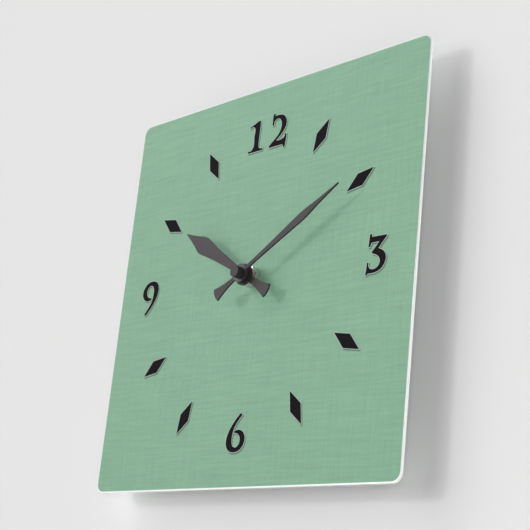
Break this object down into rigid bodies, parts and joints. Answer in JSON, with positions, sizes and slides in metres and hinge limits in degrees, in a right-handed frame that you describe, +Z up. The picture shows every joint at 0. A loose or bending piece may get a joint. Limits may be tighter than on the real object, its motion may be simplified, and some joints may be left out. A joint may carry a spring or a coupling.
{
  "type": "wall clock",
  "caption": "Square frameless acrylic wall clock, green printed dial with numerals and diamonds, two dark hands, quartz movement and hanger behind",
  "frame": {"origin": "on the hands' axis, at the wall plane (the back face of the movement's rear cover)", "axes": "+X to the right seen from the front, +Y into the wall, +Z up; the dial faces -Y"},
  "size_m": [0.273, 0.0363, 0.273],
  "materials": {
    "acrylic": "clear-edged cast acrylic, polished edge, pale",
    "green_print": "sage green printed ground with a fine linen pattern, satin",
    "black_ink": "black ink, satin",
    "pale_ink": "pale green ink, satin",
    "shade_ink": "dark green ink, satin",
    "nickel": "bright nickel plate on brass",
    "brass": "turned brass",
    "rubber": "black rubber",
    "black_plastic": "moulded black plastic, fine spark texture",
    "white_plastic": "natural acetal",
    "hand_paint": "dark grey satin paint on aluminium",
    "zinc_steel": "zinc plated sheet steel",
    "contact_steel": "nickel plated spring steel",
    "iron": "bare laminated iron",
    "magnet": "sintered magnet",
    "copper": "enamelled copper wire",
    "board": "green solder mask on board",
    "resin": "black potting resin",
    "cell_steel": "nickel plated can",
    "sleeve": "plain printed film, no lettering"
  },
  "bodies": {
    "clock_body": {"face_panel": "acrylic", "dial_print": "green_print", "numerals": "black_ink", "diamond_markers": "black_ink", "marker_outline": "pale_ink", "marker_shade": "shade_ink", "nut_washer": "nickel", "hex_nut": "nickel", "threaded_bush": "brass", "rubber_washer": "rubber", "case_front": "black_plastic", "rear_cover": "black_plastic", "middle_plate": "white_plastic", "hanger": "zinc_steel", "hanger_screws": "zinc_steel", "stator": "iron", "coil_core": "iron", "coil_bobbin": "white_plastic", "coil_winding": "copper", "circuit_board": "board", "control_chip": "resin", "quartz_crystal": "cell_steel", "positive_contact": "contact_steel", "negative_contact": "contact_steel"},
    "battery": {"battery_cell": "cell_steel", "battery_sleeve": "sleeve"},
    "rotor": {"rotor_magnet": "magnet", "rotor_pinion": "white_plastic"},
    "fifth_group": {"fifth_wheel": "white_plastic"},
    "seconds_group": {"seconds_wheel": "white_plastic"},
    "third_group": {"third_wheel": "white_plastic"},
    "centre_group": {"centre_wheel": "white_plastic"},
    "minute_group": {"cannon_pinion": "brass", "minute_hand": "hand_paint", "hand_boss": "black_plastic", "hand_cap": "hand_paint"},
    "minute_wheel_group": {"minute_wheel": "white_plastic"},
    "hour_group": {"hour_wheel": "brass", "hour_hand": "hand_paint"},
    "knob_group": {"setting_knob": "white_plastic"}
  },
  "joints": [
    {"name": "minute_spin", "type": "hinge", "parent": "clock_body", "child": "minute_group", "pos_m": [0, -0.02, 0], "axis": [0, 1, 0], "continuous": true},
    {"name": "hour_spin", "type": "hinge", "parent": "clock_body", "child": "hour_group", "pos_m": [0, -0.02, 0], "axis": [0, 1, 0], "continuous": true},
    {"name": "minute_wheel_spin", "type": "hinge", "parent": "clock_body", "child": "minute_wheel_group", "pos_m": [0.0075, -0.0128, 0], "axis": [0, 1, 0], "continuous": true},
    {"name": "knob_spin", "type": "hinge", "parent": "clock_body", "child": "knob_group", "pos_m": [0.01425, -0.002, 0.00246], "axis": [0, 1, 0], "continuous": true},
    {"name": "rotor_spin", "type": "hinge", "parent": "clock_body", "child": "rotor", "pos_m": [0.00465, -0.0055, 0.00992], "axis": [0, 1, 0], "continuous": true},
    {"name": "fifth_spin", "type": "hinge", "parent": "clock_body", "child": "fifth_group", "pos_m": [0.0028, -0.0073, 0.00485], "axis": [0, 1, 0], "continuous": true},
    {"name": "seconds_spin", "type": "hinge", "parent": "clock_body", "child": "seconds_group", "pos_m": [0, -0.0083, 0], "axis": [0, 1, 0], "continuous": true},
    {"name": "third_spin", "type": "hinge", "parent": "clock_body", "child": "third_group", "pos_m": [-0.00624, -0.0093, 0.0036], "axis": [0, 1, 0], "continuous": true},
    {"name": "centre_spin", "type": "hinge", "parent": "clock_body", "child": "centre_group", "pos_m": [0, -0.0116, 0], "axis": [0, 1, 0], "continuous": true},
    {"name": "battery_out", "type": "slide", "parent": "clock_body", "child": "battery", "axis": [0, 1, 0], "range_m": [0, 0.016]}
  ],
  "couplings": [
    {"joint": "hour_spin", "follows": "minute_spin", "ratio": 0.083333},
    {"joint": "minute_wheel_spin", "follows": "minute_spin", "ratio": -0.33333},
    {"joint": "knob_spin", "follows": "minute_spin", "ratio": 1.2},
    {"joint": "rotor_spin", "follows": "fifth_spin", "ratio": -5},
    {"joint": "seconds_spin", "follows": "fifth_spin", "ratio": -0.16667},
    {"joint": "third_spin", "follows": "fifth_spin", "ratio": 0.022222},
    {"joint": "centre_spin", "follows": "fifth_spin", "ratio": -0.0027778}
  ]
}
